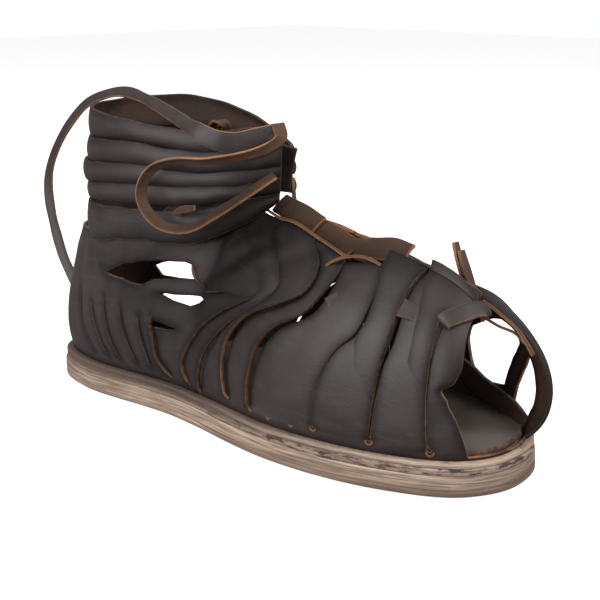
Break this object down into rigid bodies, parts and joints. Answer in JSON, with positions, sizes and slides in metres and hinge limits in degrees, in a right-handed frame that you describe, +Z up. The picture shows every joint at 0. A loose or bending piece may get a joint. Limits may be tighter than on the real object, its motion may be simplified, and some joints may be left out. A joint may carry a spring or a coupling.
{
  "type": "gladiator sandal",
  "caption": "Ankle-high leather sandal with a slit strap upper, banded collar, open toe and loose lace loops on a flat layered sole.",
  "frame": {"origin": "on the underside of the sole, 140 mm in front of the back of the heel, on the line from the back of the heel to the toe tip", "axes": "+X to the toe, +Y to the outer side of the foot, +Z up"},
  "size_m": [0.3321, 0.105, 0.1474],
  "materials": {
    "sole_leather": "raw stacked leather, matt",
    "rim_leather": "raw stacked leather, matt",
    "insole_leather": "smooth oiled leather",
    "upper_leather": "smooth dark oiled leather, satin",
    "lace_leather": "cut leather thong, flesh side showing"
  },
  "bodies": {
    "root": {"outsole": "sole_leather", "rim": "rim_leather", "insole": "insole_leather", "upper": "upper_leather", "throat_lace": "lace_leather", "bow_loop": "lace_leather", "back_loop": "lace_leather", "toe_end": "lace_leather"}
  },
  "joints": []
}
